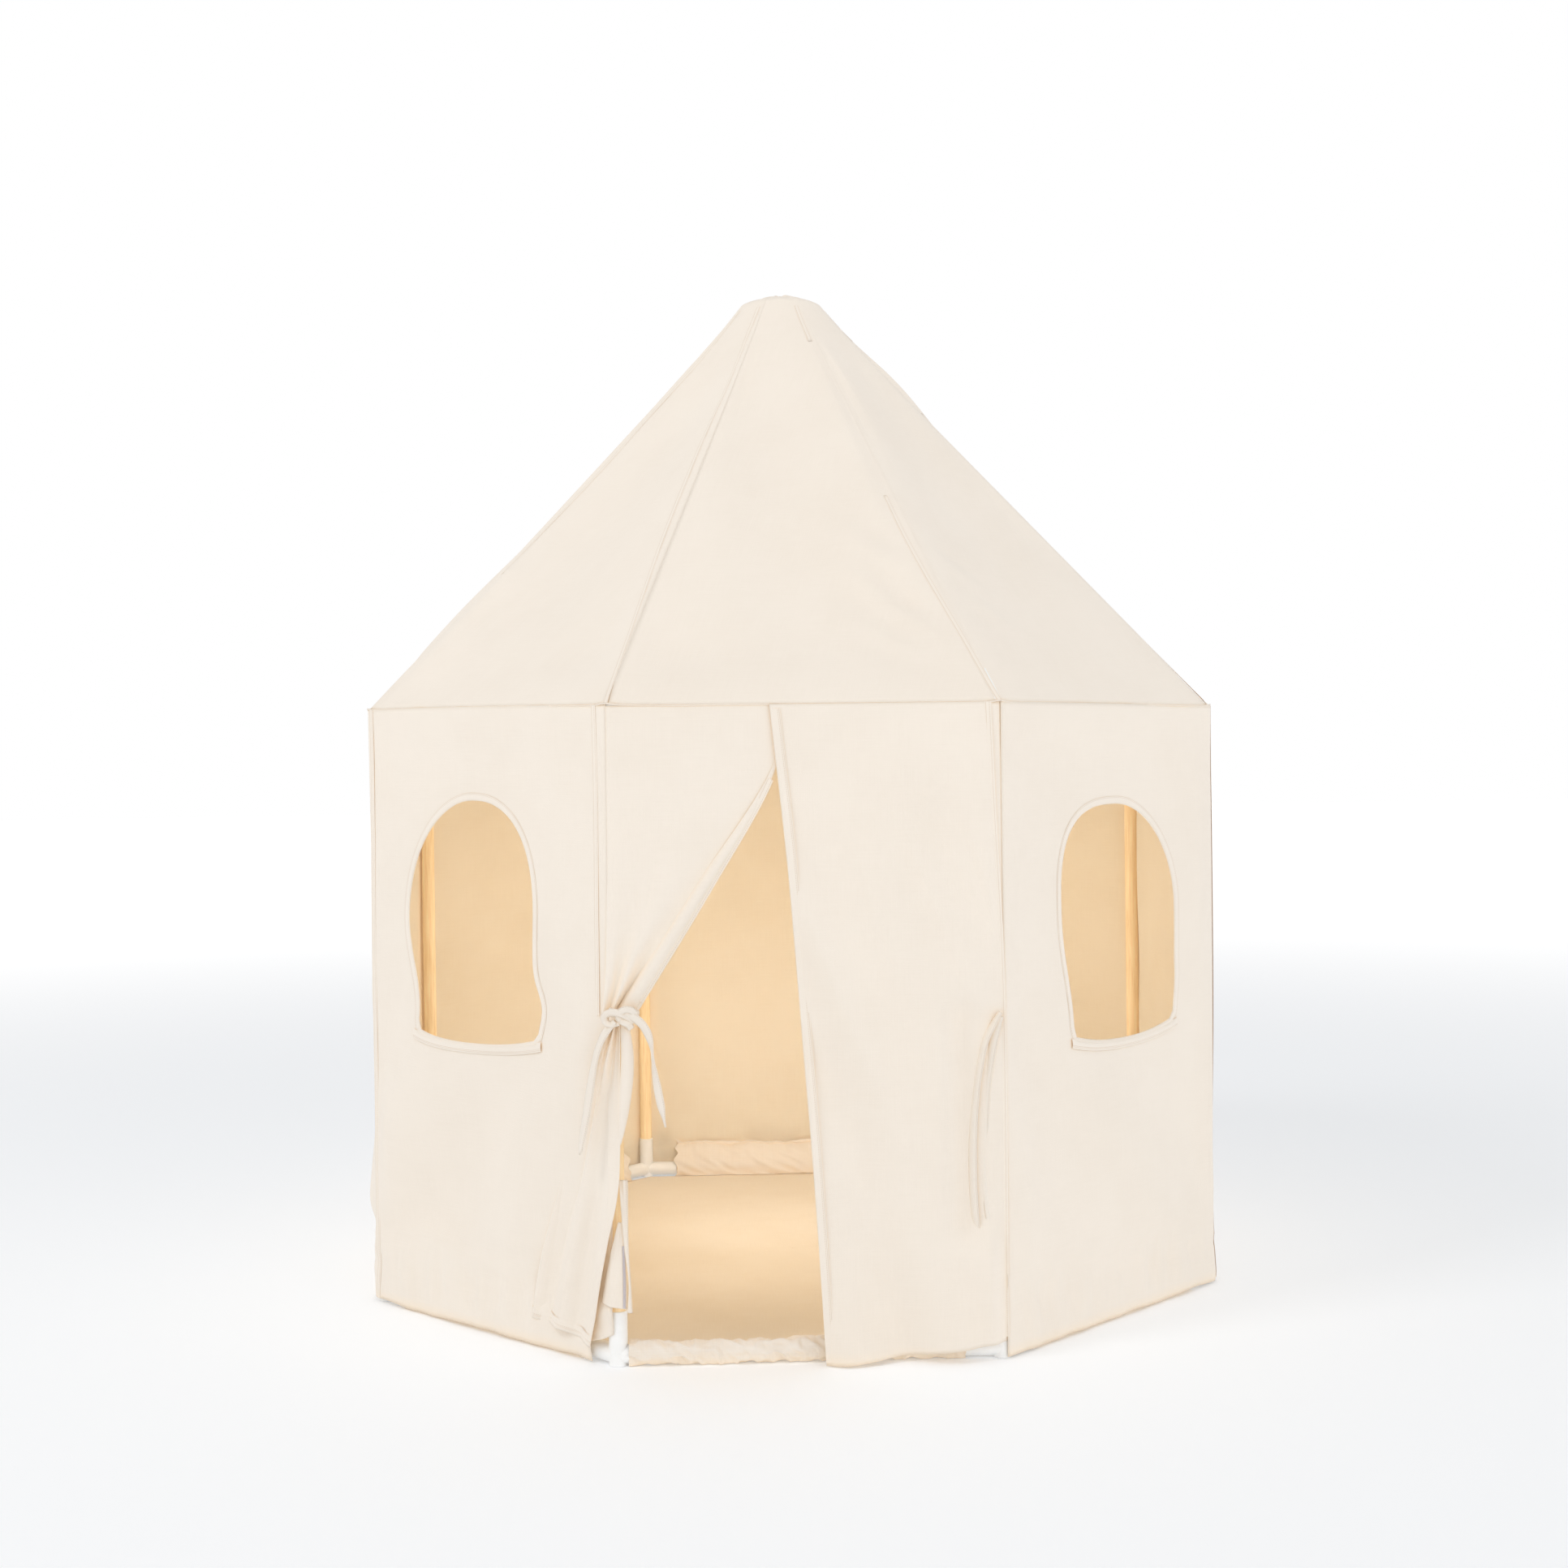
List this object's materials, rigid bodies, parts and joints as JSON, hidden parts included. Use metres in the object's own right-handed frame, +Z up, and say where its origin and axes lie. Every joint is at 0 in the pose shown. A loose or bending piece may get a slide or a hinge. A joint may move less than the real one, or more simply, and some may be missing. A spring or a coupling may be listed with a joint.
{
  "type": "bell tent",
  "caption": "Octagonal indoor play tent: canvas cover on a push-fit dowel frame, with arched side windows and a split door whose left flap is tied back.",
  "frame": {"origin": "on the ground under the tent's centre", "axes": "+Z up, door towards -Y, +X to the right when facing the back of the tent from the door"},
  "size_m": [1.3078, 1.3325, 1.6004],
  "materials": {
    "canvas": "plain-weave cotton canvas, undyed",
    "binding": "stitched cotton facing",
    "floor_canvas": "smooth cotton sheet",
    "tape": "flat cotton tape",
    "closure": "hook-and-loop tape",
    "dowel": "sanded pine, unvarnished",
    "fitting": "moulded pipe fitting, satin white"
  },
  "bodies": {
    "tent": {"base_corner_back_left": "fitting", "base_corner_back_right": "fitting", "base_corner_front_left": "fitting", "base_corner_front_right": "fitting", "base_corner_left_back": "fitting", "base_corner_left_front": "fitting", "base_corner_right_back": "fitting", "base_corner_right_front": "fitting", "base_rails": "dowel", "crown_cap": "canvas", "crown_hub": "fitting", "door_left_upper": "canvas", "door_right_upper": "canvas", "eave_corner_back_left": "fitting", "eave_corner_back_right": "fitting", "eave_corner_front_left": "fitting", "eave_corner_front_right": "fitting", "eave_corner_left_back": "fitting", "eave_corner_left_front": "fitting", "eave_corner_right_back": "fitting", "eave_corner_right_front": "fitting", "eave_rails": "dowel", "floor_sheet": "floor_canvas", "front_base_sleeve": "canvas", "hem_sleeves": "canvas", "post_back_left": "dowel", "post_back_right": "dowel", "post_front_left": "dowel", "post_front_right": "dowel", "post_left_back": "dowel", "post_left_front": "dowel", "post_right_back": "dowel", "post_right_front": "dowel", "rafter_back_left": "dowel", "rafter_back_right": "dowel", "rafter_front_left": "dowel", "rafter_front_right": "dowel", "rafter_left_back": "dowel", "rafter_left_front": "dowel", "rafter_right_back": "dowel", "rafter_right_front": "dowel", "roof_cover": "canvas", "tie_left_knot": "tape", "tie_left_short": "tape", "tie_right_long": "tape", "tie_right_short": "tape", "wall_back": "canvas", "wall_back_left": "canvas", "wall_back_right": "canvas", "wall_front_left": "canvas", "wall_front_right": "canvas", "wall_left": "canvas", "wall_right": "canvas", "window_binding_left": "binding", "window_binding_right": "binding"},
    "left_flap_tail": {"door_left_tail": "canvas", "closure_tape_left": "closure", "tie_left_long": "tape"},
    "right_flap_corner": {"door_right_corner": "canvas", "closure_tape_right": "closure"}
  },
  "joints": [
    {"name": "right_flap_fold", "type": "hinge", "parent": "tent", "child": "right_flap_corner", "pos_m": [0.115, -0.65398, 0.4615], "axis": [-0.3263, 0, 0.9453], "range_deg": [0, 120]},
    {"name": "left_tail_swing", "type": "hinge", "parent": "tent", "child": "left_flap_tail", "pos_m": [-0.28145, -0.66349, 0.474], "axis": [-0.7071, 0.7071, 0], "range_deg": [0, 20]}
  ]
}
